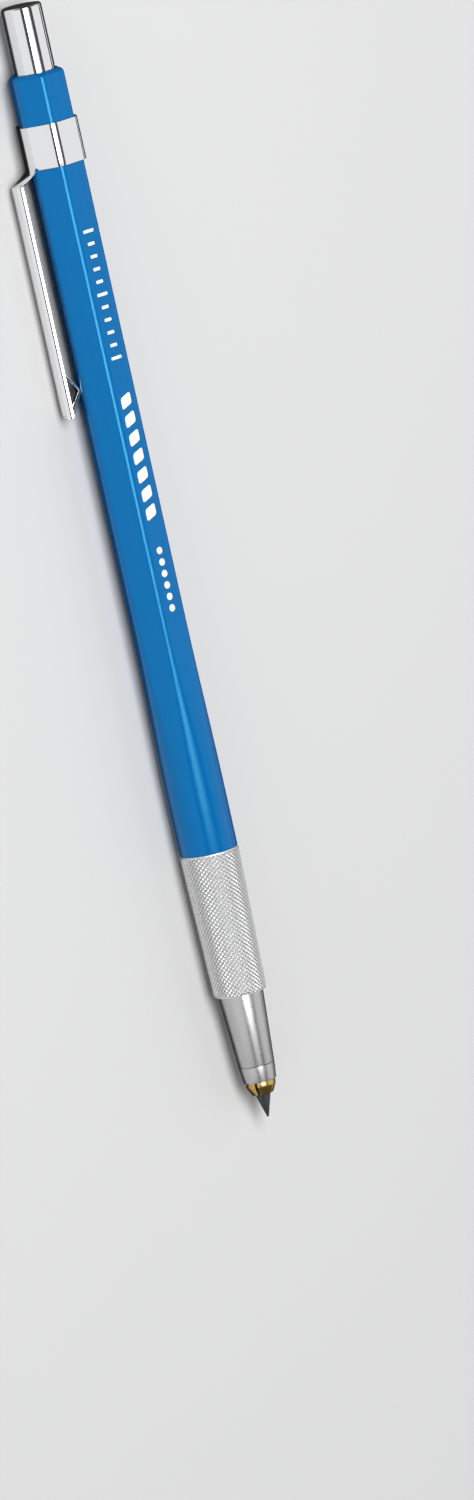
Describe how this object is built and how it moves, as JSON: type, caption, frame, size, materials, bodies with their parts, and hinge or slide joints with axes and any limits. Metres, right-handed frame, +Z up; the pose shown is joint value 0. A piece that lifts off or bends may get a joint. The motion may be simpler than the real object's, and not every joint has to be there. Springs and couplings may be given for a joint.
{
  "type": "lead holder",
  "caption": "Hexagonal clutch pencil with a knurled grip, tapered nose, spring clip and a push button that opens its jaws to feed the lead.",
  "frame": {"origin": "centre of the bounding box on the surface that the holder lies on", "axes": "+X along the holder's axis towards the tip, +Z up, the clip to the front (-Y) and resting on the surface"},
  "size_m": [0.1504, 0.0106, 0.0081],
  "materials": {
    "barrel_plastic": "glossy blue",
    "bright_chrome": "mirror chrome plate",
    "knurled_metal": "satin metal with a diamond knurl",
    "nose_metal": "finely turned and polished",
    "inner_brass": "bright turned brass",
    "jaw_brass": "turned brass, worn at the tip",
    "spring_steel": "bright drawn steel",
    "graphite": "dark, slightly shiny graphite",
    "sharpener_plastic": "moulded white plastic"
  },
  "bodies": {
    "barrel": {"barrel": "barrel_plastic", "thread_insert": "inner_brass", "clip_band": "bright_chrome"},
    "clip": {"clip_arm": "bright_chrome"},
    "front_section": {"grip_sleeve": "knurled_metal", "nose_cone": "nose_metal", "tip_ring": "nose_metal", "main_spring": "spring_steel"},
    "clutch": {"lead_tube": "inner_brass", "tube_ferrule": "inner_brass", "clutch_body": "inner_brass", "spring_collar": "inner_brass", "snap_ring": "spring_steel"},
    "jaw_1": {"jaw_1": "jaw_brass"},
    "jaw_2": {"jaw_2": "jaw_brass"},
    "jaw_3": {"jaw_3": "jaw_brass"},
    "lead": {"lead": "graphite"},
    "button": {"button_shell": "bright_chrome", "sharpener_core": "sharpener_plastic", "sharpener_blade": "spring_steel"}
  },
  "joints": [
    {"name": "clip_flex", "type": "hinge", "parent": "barrel", "child": "clip", "pos_m": [-0.05393, -0.00246, 0.0024], "axis": [0, 0.417, -0.9089], "range_deg": [0, 5], "stiffness_Nm_per_rad": 0.05, "springref_deg": -0.57},
    {"name": "front_unscrew", "type": "slide", "parent": "barrel", "child": "front_section", "axis": [1, 0, 0], "range_m": [0, 0.025]},
    {"name": "button_press", "type": "slide", "parent": "front_section", "child": "clutch", "axis": [1, 0, 0], "range_m": [0, 0.004], "stiffness_N_per_m": 400, "springref_m": -0.001, "deforming": ["main_spring"]},
    {"name": "jaw_1_open", "type": "hinge", "parent": "clutch", "child": "jaw_1", "pos_m": [0.05717, -0.00004, 0.00351], "axis": [0, 0.417, -0.9089], "range_deg": [0, 2]},
    {"name": "jaw_2_open", "type": "hinge", "parent": "clutch", "child": "jaw_2", "pos_m": [0.05717, 0.0012, 0.00526], "axis": [0, -0.9956, 0.0933], "range_deg": [0, 2]},
    {"name": "jaw_3_open", "type": "hinge", "parent": "clutch", "child": "jaw_3", "pos_m": [0.05717, 0.0021, 0.00331], "axis": [0, 0.5786, 0.8156], "range_deg": [0, 2]},
    {"name": "lead_slide", "type": "slide", "parent": "clutch", "child": "lead", "axis": [1, 0, 0], "range_m": [-0.005, 0.02]},
    {"name": "button_pull", "type": "slide", "parent": "clutch", "child": "button", "axis": [-1, 0, 0], "range_m": [0, 0.015]}
  ],
  "couplings": [
    {"joint": "jaw_1_open", "follows": "button_press", "rad_per_m": 8.7},
    {"joint": "jaw_2_open", "follows": "button_press", "rad_per_m": 8.7},
    {"joint": "jaw_3_open", "follows": "button_press", "rad_per_m": 8.7}
  ]
}
